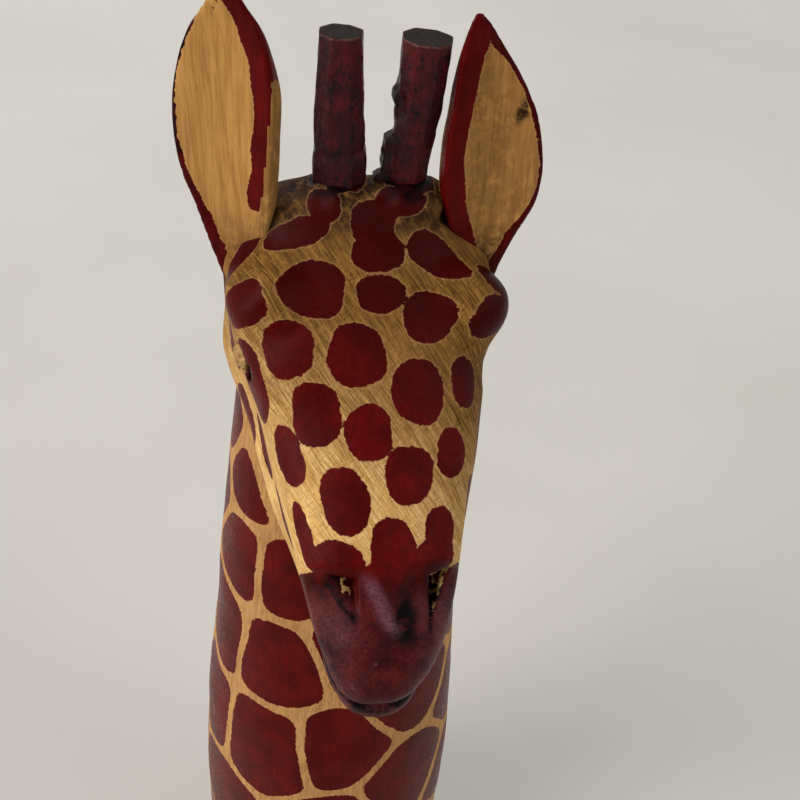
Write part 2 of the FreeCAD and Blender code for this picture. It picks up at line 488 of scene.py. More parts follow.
ARCS = arc_table()


def arc(aspect, angle):
    aspects, angles, table = ARCS
    i = np.clip((aspect - aspects[0]) / (aspects[1] - aspects[0]), 0, len(aspects) - 1.001)
    j = np.clip(angle / angles[1], 0, len(angles) - 1.001)
    a, b = i.astype(int), j.astype(int)
    u, v = i - a, j - b
    low = table[a, b] * (1 - v) + table[a, b + 1] * v
    high = table[a + 1, b] * (1 - v) + table[a + 1, b + 1] * v
    return low * (1 - u) + high * u


def round_the_head(p):
    """Distance round the head from its ridge, in millimetres, negative to the left."""
    s, x, n = face_coords(p)
    shift, ridge, w, up, down = head_section(np.clip(s, -24, 76))
    dx, dn = x - shift, n - (ridge - up)
    quarter = np.full(len(w), math.pi / 2)
    top = w * arc(up / w, np.arctan2(np.abs(dx) / w, np.maximum(dn, 0) / up))
    below = w * arc(down / w, np.arctan2(np.abs(dx) / w, np.maximum(-dn, 0) / down))
    low = w * arc(up / w, quarter) + w * arc(down / w, quarter) - below
    return np.sign(dx) * np.where(dn >= 0, top, low) + shift


def spot(s, u, half_long, half_wide, turn=0, power=2.3):
    """A painted spot: down the face, round from the ridge, half sizes, turn in degrees, squareness."""
    return s, u, half_long, half_wide, math.radians(turn), power


FACE_SPOTS = [
    (-12.6, -15.4, 2.8, 6.5, -17), (-18, -9.6, 3.4, 3.3, 8, 2.4), (-9, 0.5, 4.1, 5.6, 0, 2.4),
    (-14.8, -0.3, 4.6, 4.5, 0, 2.5), (-19, 4.6, 2.9, 4.4, 18, 2.4), (-8.5, 12.3, 3.9, 6, 34, 2.4),
    (-1.5, -11.9, 5.8, 5.5, 10, 2.5), (-0.4, 0.7, 3.8, 5.2, -6), (4.2, 9.9, 5, 4.8, -5, 2.4),
    (0.9, -24.2, 4.5, 5.4, -12, 2.5), (10.3, -16.9, 5.9, 4.6, -14, 2.4), (11.7, -4.4, 6.5, 5.6, -6),
    (18.9, 7.5, 6.6, 5.4, 4), (16.9, 18.2, 5.1, 3.7, 6), (23.2, -12.7, 6, 5.1, 4, 2.4),
    (26.8, -2.7, 5.4, 4.7, -8), (35.1, 4.9, 5.9, 4.8, 0, 2.4), (31.2, 14.5, 5.3, 3.8, -4, 2.2),
    (30.6, -19.6, 6.3, 3.6, -18), (39.8, -7.8, 6.7, 4.7, -8, 2.4), (50.6, 1.2, 6.8, 4.8, 0, 2.5),
    (48.4, 11.3, 6.9, 3.6, -4, 2.4), (46.2, -17, 7.2, 2.1, -14), (51.6, -10.2, 4.4, 5.4, 20, 2.4),
    (54, 7.6, 6, 2.4, 0, 2.4), (-3.6, 22.3, 3.3, 3.9, 34), (4, 20.4, 4.2, 4.1), (-9.2, -27.6, 6.2, 2, 45),
    (15, -27, 8.3, 4.7, -10, 2.1),
]
# round the sides and under the jaw
SIDE_SPOTS = [
    (27.5, -33.5, 7.4, 1.9, -14, 2.2), (42, -27.5, 7.6, 1.7, -14, 2.2), (34.5, -39.5, 7, 2.6, -14),
    (20.5, -41, 6.6, 2.6, -8), (52, -33.5, 5.4, 2.6, -10), (24, -48.5, 6.2, 4.2), (6, -38.6, 5.4, 3.2),
    (-6.5, -38.5, 4.6, 4.6), (40.5, -49, 6, 4.4), (31.5, -59.5, 5.6, 4.2), (27.5, 26.4, 6.2, 2.2, -4, 2.2),
    (40.5, 22.4, 5.4, 1.8, -4, 2.2), (31.5, 34, 6.4, 3.6), (46, 30, 6.2, 3.4), (15.5, 35.5, 6.6, 3.8),
    (-5, 37.5, 4.8, 4.4), (5.5, 46.5, 5.2, 4.4), (21.5, 46, 6, 4.6), (36.5, 45.5, 5.8, 4.4),
    (50, 42.5, 4.4, 4.4), (31.5, 57.5, 5.8, 4.8), (46, 57, 6, 4.6), (50.5, -57.5, 5.4, 4.8),
    (54, -45.5, 4.2, 4), (20, 60, 5, 4.4), (18.5, -60.5, 5, 4.4), (-17.5, 31.5, 4.4, 4.2),
    (-18, -36.5, 4.2, 4), (-5.5, -53.5, 4.6, 4.6), (8.5, -57.5, 5, 4.6), (-13.5, -47, 4, 4.2),
    (-3.5, -65.5, 4.8, 4.6), (-5.5, 53.5, 4.6, 4.6), (8, 60.5, 5, 4.6), (-13.5, 45, 4, 4.2),
    (-4.5, 66.5, 4.8, 4.6),
]


def spot_distance(s, u):
    """Distance to the nearest spot, negative inside; each outline wobbles in its own way."""
    best = np.full(len(s), 99.0)
    for k, row in enumerate(FACE_SPOTS + SIDE_SPOTS):
        s0, u0, half_long, half_wide, turn, power = spot(*row)
        ds, du = s - s0, u - u0
        a = ds * math.cos(turn) - du * math.sin(turn)
        b = ds * math.sin(turn) + du * math.cos(turn)
        angle = np.arctan2(b, a)
        wobble = (0.030 * np.sin(2 * angle + k) + 0.028 * np.sin(3 * angle + 2.1 * k)
                  + 0.012 * np.sin(5 * angle + 3.7 * k))
        g = reach((a, b), (half_long, half_wide), power) * (1 - wobble)
        best = np.minimum(best, np.hypot(a, b) * (1 - 1 / g))
    return best


# Cells on the neck: degrees round from the front (negative to the left), height
NECK_CELLS = [
    (-60, 190), (-42, 196), (-62, 168), (-31, 168), (-75, 141), (-33, 140.5), (-33.5, 106), (-81, 106),
    (-62, 70), (1, 148), (-1, 110.5), (32, 127), (31.5, 92), (1, 77), (-31, 58), (73, 112), (70, 78),
    (28, 52), (-8, 38), (-50, 32), (58, 38), (-24, 8), (18, 16), (-72, 4), (54, 2), (86, 46), (96, 12),
    (-92, 44), (8, 182), (44, 168), (30, 205), (-12, 205), (72, 150), (74, 186), (-40, 206), (60, 218),
    (-66, 218), (-94, 180), (-88, 200), (108, 92), (106, 130), (102, 166), (104, 202), (118, 62), (132, 30),
    (142, 108), (140, 148), (138, 184), (146, 76), (150, 218), (170, 128), (172, 164), (174, 198),
    (168, 54), (176, 92), (164, 16), (-120, 18), (-112, 76), (-118, 120), (-122, 156), (-120, 190),
    (-128, 48), (-146, 88), (-152, 132), (-156, 172), (-150, 206), (-158, 24), (-162, 58), (-160, 112),
    (-178, 226), (120, 224), (-112, 222), (90, 232), (-140, 232), (160, 244), (-90, 240),
]
LINE_HALF = 1.15      # half width of the pale lines between the cells
CORNER_ROUND = 1.5    # how much the cells' corners are rounded
CELL_SQUASH = 0.97
FAR_CELL = 60


def cell_distance(p):
    """Negative inside a dark cell, positive in the pale lines between them."""
    x, y, z = p.T
    turn = np.arctan2(x, -y)
    r = np.hypot(x, y) * 0.3 + 0.7 * np.interp(z, NECK[:, 0], NECK[:, 1])
    around, up = 1.1 * noise(p, 11, 11), 1.1 * noise(p, 11, 12)
    copies = [(deg + full, z0) for deg, z0 in NECK_CELLS for full in (-360, 0, 360) if abs(deg + full) < 260]
    seed_turn, seed_z = np.array(copies, float).T
    seed_turn = np.radians(seed_turn)
    du = (turn[:, None] - seed_turn) * r[:, None] + around[:, None]
    dz = (z[:, None] - seed_z + up[:, None]) * CELL_SQUASH
    d2 = du ** 2 + dz ** 2
    rows, near = np.arange(len(d2)), d2.argmin(1)
    gap = np.hypot((seed_turn[near][:, None] - seed_turn) * r[:, None],
                   (seed_z[near][:, None] - seed_z) * CELL_SQUASH)
    edge = (d2 - d2[rows, near][:, None]) / (2 * np.maximum(gap, 1e-3))
    edge[rows, near] = FAR_CELL
    edge = np.minimum(edge, FAR_CELL)
    low = edge.min(1)
    rounding = np.log(np.exp(-(edge - low[:, None]) / CORNER_ROUND).sum(1)) * CORNER_ROUND
    return LINE_HALF - (low - rounding)


def horn_rings(p):
    """Distance out from the rim of each horn on the crown."""
    return [np.hypot(p[:, 0] - foot[0], p[:, 1] - foot[1]) - 5.4 for foot in HORN_FEET.values()]


def left_nostril_slant(p):
    """Distance in x from the slanted lower edge of the left nostril, positive towards the bridge."""
    s, x, n = face_coords(p)
    top_s, top_x = NOSTRILS[-1][0]
    return x - top_x - (s - top_s) * 0.71


def black_stain_and_shade(p, on_face):
    """Near-black, 0 to 1: painted shade in the mouth gap, along the left nostril's slanted edge and at its
    lower end, and in the eye hole; black stain over the cloudy muzzle and round the horn feet; black inside
    the right nostril and in patches beside the bridge.
    """
    s, x, n = face_coords(p)
    slope = left_nostril_slant(p)
    slant = np.abs(slope + 0.2)
    right_pit = smooth(0.7, -0.1, nostril_cut(p, 1))
    # painted shade: the left nostril goes black at its lower end and along its slanted edge
    left_pit = smooth(0.7, -0.1, nostril_cut(p, -1))
    left_pit = left_pit * np.maximum(smooth(57.5, 60.5, s), smooth(4.6, 3.2, slope))
    left_edge = smooth(1.5, 0.5, slant) * smooth(53.6, 55.5, s) * smooth(64.5, 62.5, s) * (x < -4)
    black = np.max([
        right_pit, left_pit, left_edge,
        # painted shade in the mouth gap
        smooth(2.1, 0.5, mouth_cut(p)) * smooth(61, 66, s),
        0.95 * smooth(5.6, 1.0, np.hypot((s - 63.5) * 0.5, x - 2.9)) * (n > -6),
        0.60 * smooth(3.2, 0.5, np.hypot(s - 53.5, (x - 9.5) * 0.6)),
        0.55 * smooth(3.4, 0.4, np.hypot(s - 55, (x + 13.5) * 0.6)),
    ], axis=0)
    # the whole muzzle is cloudy, apart from the clean left nostril
    cloudy = 0.45 + 0.30 * noise(p, 6, 24) + 0.18 * noise(p, 2.4, 25)
    cloudy = np.maximum(black, cloudy * smooth(52, 57, s) * (on_face > 0.5))
    clean = (nostril_cut(p, -1) < 0.35) & (slant > 1.5)
    black = np.where(clean, black, cloudy)
    # painted shade in the hole under the left eye plug
    black = np.maximum(black, smooth(3.3, 2.3, np.linalg.norm(p - EYE_HOLE, axis=1)))
    for ring in horn_rings(p):
        black = np.maximum(black, 0.9 * smooth(3.4, 0.8, ring + noise(p, 2.2, 47)) * (p[:, 2] > 244))
    return np.clip(black, 0, 1)


def wood_dirt_and_shade(p, on_face, bare_nostril):
    """Brown darkening on bare wood, 0 to 1: dirt on the crown, two scuffed lines, the right nostril and the
    horn feet; painted shade in the eye hole; darker round the eye plugs.
    """
    s, x, n = face_coords(p)
    front = on_face > 0.3
    right_line = np.abs((s + 16.5) + (x - 14.5) * 0.9) * 0.74
    left_line = np.abs((s + 16.0) + (x + 17.5) * 0.42)
    dirt_and_shade = np.max([
        np.zeros(len(p)),
        smooth(-11, -20, s) * front * (0.35 + 0.5 * noise(p * np.array([1, 1, 0.5]), 6, 41)),
        smooth(254, 260, p[:, 2]) * (0.80 + 0.5 * noise(p, 4, 42)),
        0.80 * smooth(1.6, 0.4, right_line) * smooth(6, 9, x) * smooth(21, 18, x) * front,
        0.85 * smooth(2.6, 0.6, left_line) * smooth(-28, -24, x) * smooth(-8, -12, x) * (s < -12) * front,
        # painted shade in the eye hole
        smooth(3.0, 1.8, np.linalg.norm(p - EYE_HOLE, axis=1)),
    ], axis=0)
    for side in EYE_TIPS:
        a, r = eye_axis(p, side)
        dirt_and_shade = np.maximum(dirt_and_shade, smooth(3.3, 2.7, r) * (np.abs(a) < 4))
    dirt_and_shade = np.where(bare_nostril, 0.8, dirt_and_shade)
    for ring in horn_rings(p):
        dirt_and_shade = np.maximum(dirt_and_shade, smooth(4.6, 1.2, ring + 0.8 * noise(p, 3, 43)) * (p[:, 2] > 244))
    return np.clip(dirt_and_shade, 0, 1)


def painted_sheen_and_wear(p):
    """Painted highlight on the left flank of the bridge, and small worn specks over the lip."""
    s, x, n = face_coords(p)
    flank = np.abs(x - 1.0 + 5.6 * bridge_width(s))
    sheen = 0.62 * smooth(2.6, 0.0, flank) * smooth(52.5, 57, s) * smooth(67, 63, s) * (n > -8)
    worn = noise(p, 0.9, 27) + 0.4 * noise(p, 2.6, 28)
    specks = smooth(0.9, 1.1, worn) * smooth(60, 68, s) * (n > -13) * (np.abs(x + 1) < 7)
    return np.maximum(sheen, specks)


def stain_distance(p, on_face, bare_nostril):
    """Distance to the red stain, negative where the wood is painted."""
    s, x, n = face_coords(p)
    u = round_the_head(p)
    spots = spot_distance(s + 0.35 * noise(p, 5, 21), u + 0.35 * noise(p, 5, 22))
    muzzle = MUZZLE_AT + 1.3 * noise(p, 3.2, 23) + 0.035 * np.abs(x + 3.5) - s
    d = np.where(on_face > 0.5, np.minimum(spots, muzzle), cell_distance(p))
    # a chip in the left nostril, bare wood round the eyes and in the right nostril
    chip = np.hypot((s - 56.0) * 0.55, x + 8.0) + 0.9 * noise(p, 1.1, 29) < 0.9
    d = np.where(chip & (nostril_cut(p, -1) < 0.35), 0.6, d)
    ragged = 0.5 * noise(p, 1.6, 26)
    for side in EYE_TIPS:
        a, r = eye_axis(p, side)
        d = np.where(np.abs(a) < 4, np.maximum(d, 2.9 - r + ragged), d)
    d = np.where(bare_nostril, 0.6, d)
    d = np.maximum(d, 2.9 - np.linalg.norm(p - face(7.8, -27.0, -12.6), axis=1) + ragged)
    # stained rings on the crown under the horns
    wavy = 1.0 * noise(p, 3.4, 44) + 0.5 * noise(p, 1.2, 45)
    for ring in horn_rings(p):
        d = np.where(p[:, 2] > 244, np.minimum(d, ring - 0.6 + wavy), d)
    return d


def block_paint(p):
    """Everything the block's material reads from the mesh."""
    s, x, n = face_coords(p)
    on_face = smooth(-0.6, 0.6, neck_field(p) - head_field(p))
    bare_nostril = (nostril_cut(p, 1) < 0.15) & (noise(p, 0.75, 30) > -0.1)
    across = x + np.sign(x) * np.maximum(-n - 8, 0)
    arc_round = np.arctan2(p[:, 0], -p[:, 1]) * 33
    # Near-black and darkening values carry painted shade as well as stain and dirt; the sheen values carry a
    # painted highlight as well as wear.
    return dict(
        spot=stain_distance(p, on_face, bare_nostril), black=black_stain_and_shade(p, on_face),
        dirt_and_shade=wood_dirt_and_shade(p, on_face, bare_nostril), isface=on_face, sheen_and_wear=painted_sheen_and_wear(p),
        fc=np.stack([s, across, n * 0.2], 1),
        nc=np.stack([arc_round, p[:, 2], np.hypot(p[:, 0], p[:, 1])], 1))


def ear_paint(p, side):
    """Painted rims round a bare front, and a stained back."""
    u, w, v = ear_local(p, side)
    outer, inner = ear_edges(side, v)
    warp = 0.5 * noise(p, 4, 51)
    from_outer, from_inner = outer - u, u - inner
    low = v < 33.5
    wall = smooth(-0.5, -1.3, w) * (from_inner < 2.5) * low
    if side < 0:
        rim = from_outer - np.interp(v, [-2, 2, 8, 18, 26, 40], [3.2, 3.0, 2.2, 1.3, 0.7, 0.6])
        bare = np.interp(v, [0, 10, 22, 33], [1.9, 2.0, 1.3, 0.2])
        painted = np.interp(v, [4, 10, 22, 32, 40, 50], [3.0, 3.0, 3.0, 3.7, 4.4, 4.6])
        band = smax(from_inner - bare - painted, 8.0 - v, 1.5)
        wall = np.maximum(wall, (from_inner < bare + 0.4 * warp) * low)
        bare_wall = wall > 0.5
    else:
        rim = from_outer - np.interp(v, [-2, 4, 10, 20, 36, 44], [3.0, 2.6, 1.4, 1.1, 1.4, 2.5])
        painted = np.interp(v, [2, 10, 22, 32, 42], [4.8, 4.6, 3.9, 4.2, 4.6])
        band = np.maximum(from_inner - painted, 1.0 - v)
        bare_wall = (wall > 0.5) & (w < -3.2)
    d = np.where(bare_wall, 1.5, np.minimum(rim, band)) + warp
    d = np.where((w < -4.5) & (wall < 0.5), 2.0 + warp, d)
    # Darker towards the foot; the right ear is darkened more there and streakily all over, which is painted
    # shade.
    dirt_and_shade = 0.9 * smooth(9, -1, v + 2 * noise(p, 6, 52)) * (1.0 if side > 0 else 0.55)
    dirt_and_shade = np.maximum(dirt_and_shade, 0.42 * wall)
    if side > 0:
        right_ear_shade = 0.26 + 0.26 * noise(p * np.array([1, 1, 0.4]), 5, 53)
        knot = np.hypot(u - 7.7 - 0.35 * (v - 29.5), (v - 29.5) * 0.5)
        dirt_and_shade = np.max([dirt_and_shade, right_ear_shade, smooth(2.2, 0.8, knot)], axis=0)
    on_rim = rim < band
    black = np.where(on_rim & (v > 18) & (side < 0), 0.85, 0.35 * on_rim)
    return dict(spot=d, dirt_and_shade=np.clip(dirt_and_shade, 0, 1), black=black, nc=np.stack([u, v, w], 1))


# ---- materials
def lin(r, g, b):
    """Linear colour from 0-255 sRGB values."""
    out = []
    for c in (r / 255, g / 255, b / 255):
        out.append(c / 12.92 if c <= 0.04045 else ((c + 0.055) / 1.055) ** 2.4)
    return (*out, 1.0)


class Mat:
    """Short helpers round one material's node tree; vectors are in millimetres."""

    def __init__(self, name):
        self.m = bpy.data.materials.new(name)
        self.m.use_nodes = True
        self.t = self.m.node_tree
        self.t.nodes.clear()

    def node(self, kind, **props):
        n = self.t.nodes.new(kind)
        for k, v in props.items():
            setattr(n, k, v)
        return n

    def put(self, socket, value):
        if isinstance(value, bpy.types.NodeSocket):
            self.t.links.new(value, socket)
        else:
            socket.default_value = value

    def attr(self, name, vector=False):
        n = self.node("ShaderNodeAttribute", attribute_name=name)
        return n.outputs["Vector" if vector else "Fac"]

    def pos(self, scale=1000.0):
        n = self.node("ShaderNodeTexCoord")
        return self.scaled(n.outputs["Object"], (scale,) * 3)

    def scaled(self, vec, scale, turn=0):
        """Vector scaled, and first turned round its third axis when turn (degrees) is given."""
        if turn:
            vec = self.mapping(vec, (1, 1, 1), (0, 0, math.radians(turn)))
        return self.mapping(vec, scale, (0, 0, 0))

    def mapping(self, vec, scale, rotation):
        n = self.node("ShaderNodeMapping")
        self.put(n.inputs["Vector"], vec)
        n.inputs["Scale"].default_value = scale
        n.inputs["Rotation"].default_value = rotation
        return n.outputs[0]

    def noise(self, vec, scale=1.0, detail=2.0, rough=0.5, warp=0.0):
        n = self.node("ShaderNodeTexNoise")
        self.put(n.inputs["Vector"], vec)
        for key, value in (("Scale", scale), ("Detail", detail), ("Roughness", rough), ("Distortion", warp)):
            n.inputs[key].default_value = value
        return n.outputs[0]

    def math(self, op, a, b=0.0, clamp=False):
        n = self.node("ShaderNodeMath", operation=op, use_clamp=clamp)
        self.put(n.inputs[0], a)
        self.put(n.inputs[1], b)
        return n.outputs[0]

    def add(self, a, b):
        return self.math("ADD", a, b)

    def times(self, a, b, clamp=False):
        return self.math("MULTIPLY", a, b, clamp)

    def remap(self, v, a, b, c=0.0, d=1.0):
        """S-curve from c where v is at a to d where it is at b."""
        n = self.node("ShaderNodeMapRange", interpolation_type="SMOOTHSTEP")
        self.put(n.inputs[0], v)
        for i, k in enumerate((a, b, c, d)):
            n.inputs[i + 1].default_value = k
        return n.outputs[0]

    def mix(self, f, a, b):
        n = self.node("ShaderNodeMix", data_type="RGBA")
        for socket, value in ((0, f), (6, a), (7, b)):
            self.put(n.inputs[socket], value)
        return n.outputs[2]

    def blend(self, f, a, b):
        """The same for plain numbers."""
        n = self.node("ShaderNodeMix", data_type="FLOAT")
        for socket, value in ((0, f), (2, a), (3, b)):
            self.put(n.inputs[socket], value)
        return n.outputs[0]

    def bump(self, height, strength, dist, base=None):
        n = self.node("ShaderNodeBump")
        self.put(n.inputs["Height"], height)
        n.inputs["Strength"].default_value = strength
        n.inputs["Distance"].default_value = dist
        if base is not None:
            self.put(n.inputs["Normal"], base)
        return n.outputs[0]

    def finish(self, color, rough, normal=None, specular=0.5):
        b = self.node("ShaderNodeBsdfPrincipled")
        self.put(b.inputs["Base Color"], color)
        self.put(b.inputs["Roughness"], rough)
        b.inputs["Specular IOR Level"].default_value = specular
        if normal is not None:
            self.put(b.inputs["Normal"], normal)
        o = self.node("ShaderNodeOutputMaterial")
        self.put(o.inputs[0], b.outputs[0])
        return self.m


# The second colour darkens bare wood, as dirt and as painted shade in the eye hole and on the right ear.
PORE, DIRT_AND_SHADE, HALO = lin(92, 58, 26), lin(40, 21, 12), lin(206, 156, 106)
FACE_PALE, FACE_TAN = lin(254, 212, 142), lin(232, 180, 104)        # lower face, with painted light on it
BROW_TAN, BROW_BROWN = lin(152, 104, 36), lin(106, 68, 18)          # upper face, in painted shade
SCRATCH_PALE, SCRATCH_DARK = lin(128, 82, 30), lin(52, 28, 5)
STAIN, STAIN_BRIGHT, STAIN_GRAIN, STAIN_SPECK = lin(76, 2, 2), lin(100, 6, 5), lin(58, 2, 2), lin(112, 14, 12)
# The first of these is the stain in painted shade towards the brow and the right; the last is near-black, for
# black stain and for painted shade in the mouth gap, the left nostril and the eye hole.
STAIN_SHADED, STAIN_SCRATCH, BLACK_STAIN_AND_SHADE = lin(52, 1, 1), lin(40, 2, 3), lin(13, 3, 4)
# A painted reflection, lighter and greyer, on the muzzle's sides; a painted highlight on the bridge, which
# also colours small worn specks.
MUZZLE_REFLECTION, SHEEN_AND_WEAR = lin(128, 70, 74), lin(150, 106, 120)


class FaceLook:
    """What the carved face adds: sanding scratches, painted shade towards the brow and the right side, a
    painted reflection on the muzzle's sides and a painted highlight on the bridge.
    """

    def __init__(self, m, cloud):
        fc = m.attr("fc", True)
        self.m, self.isface = m, m.attr("isface")
        split = m.node("ShaderNodeSeparateXYZ")
        m.put(split.inputs[0], fc)
        self.down, self.across = split.outputs[0], split.outputs[1]
        # scratches run down the face from upper left to lower right, with a few across them
        self.scratch = m.noise(m.scaled(fc, (0.21, 4.8, 1.4), -33), 1.0, 4, 0.68, 0.45)
        self.coarse = m.noise(m.scaled(fc, (0.085, 1.0, 0.4), -30), 1.0, 3, 0.6, 0.3)
        self.cross = m.noise(m.scaled(fc, (0.5, 3.4, 0.8), 48), 1.0, 3, 0.65, 0.3)
        # Painted light level: higher down the face and to the left, lower towards the brow and the right,
        # where face wood and stain are painted in shade.
        cloudy = m.times(m.math("SUBTRACT", cloud, 0.5), 26.0)
        self.painted_light = m.add(m.add(self.down, cloudy), m.times(self.across, -0.55))

    def wood(self, plain, speck):
        m = self.m
        lit_wood = m.mix(m.remap(self.coarse, 0.36, 0.64), FACE_PALE, FACE_TAN)
        shaded_wood = m.mix(m.remap(self.coarse, 0.38, 0.62), BROW_TAN, BROW_BROWN)
        color = m.mix(m.remap(self.painted_light, 50, 4, 0.0, 0.92), lit_wood, shaded_wood)
        groove = m.mix(m.remap(self.painted_light, 40, 4), SCRATCH_PALE, SCRATCH_DARK)
        depth = m.remap(self.painted_light, 54, 22, 0.44, 0.76)
        color = m.mix(m.times(m.remap(self.scratch, 0.46, 0.59), depth), color, groove)
        color = m.mix(m.times(m.remap(self.cross, 0.50, 0.62, 0, 0.6), depth), color, groove)
        color = m.mix(m.remap(speck, 0.55, 0.70, 0, 0.35), color, groove)
        return m.mix(self.isface, plain, color)

    def stain(self, red, pos):
        m = self.m
        # painted shade darkens the stain towards the brow and the right
        red = m.mix(m.times(self.isface, m.remap(self.painted_light, 26, -6, 0, 0.75)), red, STAIN_SHADED)
        red = m.mix(m.times(self.isface, m.remap(self.cross, 0.50, 0.66, 0, 0.35)), red, STAIN_SCRATCH)
        # painted reflection on the muzzle's sides, stronger low down
        flank = m.remap(m.math("ABSOLUTE", m.add(self.across, 0.5)), 2.0, 12.0, 0.35, 1.0)
        reflection = m.times(m.remap(self.down, 55, 62, 0, 0.62), m.times(flank, self.isface))
        reflection = m.times(reflection, m.remap(m.noise(pos, 1.4, 4, 0.7), 0.34, 0.60, 0.35, 1.0))
        return m.mix(reflection, red, MUZZLE_REFLECTION)

    def sheen(self, red, pos):
        m = self.m
        # painted highlight on the bridge's left flank, and the worn specks
        patchy = m.remap(m.noise(pos, 1.6, 4, 0.7), 0.36, 0.58, 0.2, 0.62)
        return m.mix(m.times(m.attr("sheen_and_wear"), patchy), red, SHEEN_AND_WEAR)


def painted_wood(name, light, dark, carved_face, pores):
    """Bare carved wood under hand-painted oxblood stain; distances come with the mesh, in millimetres."""
    m = Mat(name)
    pos, along = m.pos(), m.attr("nc", True)
    # long grain, and short dark pores along it
    grain = m.noise(m.scaled(along, (1.1, 0.075, 1.1)), 1.0, 4, 0.6, 0.4)
    pore = m.noise(m.scaled(along, (2.6, 0.28, 2.6)), 1.0, 3, 0.65)
    cloud = m.noise(pos, 0.06, 3, 0.55)
    speck = m.noise(pos, 2.2, 3, 0.6)
    look = FaceLook(m, cloud) if carved_face else None
    wood = m.mix(m.remap(grain, 0.34, 0.72, 0, 0.75), light, dark)
    wood = m.mix(m.remap(pore, 0.56, 0.70, 0, pores), wood, PORE)
    if look:
        wood = look.wood(wood, speck)
    wood = m.mix(m.remap(cloud, 0.35, 0.7, 0, 0.30), wood, dark)
    # dirt, and painted shade in the eye hole and on the right ear, darken the bare wood
    blotch = m.times(m.attr("dirt_and_shade"), m.remap(m.noise(pos, 0.42, 4, 0.65), 0.26, 0.54))
    wood = m.mix(blotch, wood, DIRT_AND_SHADE)
    # ragged painted edge with a pale halo round it
    fray = m.times(m.math("SUBTRACT", m.noise(pos, 0.75, 3, 0.6), 0.5), 1.15)
    fine_fray = m.times(m.math("SUBTRACT", speck, 0.5), 0.55)
    d = m.add(m.attr("spot"), m.add(fray, fine_fray))
    paint = m.remap(d, 0.10, -0.10)
    wood = m.mix(m.times(m.remap(d, 0.45, 0.12), 0.24), wood, HALO)
    # stain: deep red, thinner and darker by turns, grain showing through
    tone = m.noise(pos, 0.11, 3, 0.6)
    red = m.mix(m.remap(tone, 0.32, 0.68), STAIN, STAIN_BRIGHT)
    red = m.mix(m.remap(grain, 0.40, 0.68, 0, 0.40), red, STAIN_GRAIN)
    red = m.mix(m.remap(speck, 0.50, 0.72, 0, 0.26), red, STAIN_SPECK)
    if look:
        red = look.stain(red, pos)
    patchy = m.remap(m.noise(pos, 0.30, 4, 0.62), 0.30, 0.60, 0.35, 1.15)
    # near-black: black stain, and painted shade in the mouth gap, the left nostril and the eye hole
    red = m.mix(m.times(m.attr("black"), patchy, True), red, BLACK_STAIN_AND_SHADE)
    if look:
        red = look.sheen(red, pos)
    rough_wood = m.remap(speck, 0.3, 0.7, 0.50, 0.68)
    rough_paint = m.remap(m.noise(pos, 0.9, 3, 0.6), 0.3, 0.7, 0.25, 0.42)
    height = m.add(m.times(pore, -0.45), m.times(grain, -0.25))
    if look:
        height = m.blend(look.isface, height, m.times(look.scratch, -0.75))
    height = m.add(height, m.times(speck, 0.22))
    normal = m.bump(paint, 0.30, 0.00008, m.bump(height, 0.42, 0.00045))
    return m.finish(m.mix(paint, wood, red), m.blend(paint, rough_wood, rough_paint), normal, 0.07)


def stick_wood(name):
    """Whittled stick under a nearly black stain, crackled, with bark where the wood is torn."""
    m = Mat(name)
    pos = m.pos()
    grain = m.noise(m.scaled(pos, (1.3, 1.3, 0.10)), 1.0, 4, 0.62, 0.5)
    tone = m.noise(pos, 0.16, 3, 0.6)
    crackle = m.noise(m.scaled(pos, (0.62, 0.62, 0.42)), 1.0, 6, 0.72, 1.1)
    col = m.mix(m.remap(tone, 0.34, 0.64), lin(88, 7, 13), lin(50, 4, 8))
    col = m.mix(m.remap(grain, 0.42, 0.66, 0, 0.5), col, lin(24, 4, 5))
    col = m.mix(m.remap(crackle, 0.52, 0.61, 0, 0.88), col, lin(9, 2, 3))
    bark = m.times(m.attr("bark"), m.remap(m.noise(pos, 1.1, 4, 0.7), 0.30, 0.55))
    worn = m.times(m.attr("worn"), m.remap(m.noise(pos, 0.9, 3, 0.7), 0.36, 0.56))
    col = m.mix(bark, col, lin(26, 12, 9))
    col = m.mix(worn, col, lin(112, 74, 62))
    height = m.add(m.times(grain, 0.6), m.times(crackle, 1.1))
    height = m.add(height, m.times(m.noise(pos, 1.8, 3, 0.6), 0.35))
    return m.finish(col, m.remap(crackle, 0.35, 0.65, 0.24, 0.46), m.bump(height, 0.55, 0.0005), 0.22)


def end_grain(name):
    """Saw cut of a stick: faint rings on dark brown."""
    m = Mat(name)
    pos = m.pos()
    n, f = m.noise(pos, 0.9, 4, 0.7), m.noise(pos, 3.4, 3, 0.6)
    ring = m.math("SINE", m.add(m.times(m.attr("radius"), 6.2), m.times(n, 3.0)))
    col = m.mix(m.remap(n, 0.32, 0.68), lin(42, 29, 19), lin(18, 11, 7))
    col = m.mix(m.remap(ring, 0.1, 1.0, 0, 0.55), col, lin(14, 7, 5))
    col = m.mix(m.remap(f, 0.52, 0.68, 0, 0.6), col, lin(20, 11, 8))
    return m.finish(col, 0.74, m.bump(m.add(n, f), 0.5, 0.0004), 0.12)


def plug_wood(name):
    m = Mat(name)
    pos = m.pos()
    n, f = m.noise(pos, 0.8, 4, 0.62), m.noise(pos, 2.6, 3, 0.6)
    col = m.mix(m.remap(n, 0.34, 0.66), lin(208, 164, 98), lin(150, 106, 52))
    col = m.mix(m.remap(f, 0.58, 0.70, 0, 0.6), col, lin(70, 42, 22))
    return m.finish(col, 0.62, m.bump(m.add(n, f), 0.55, 0.0005))


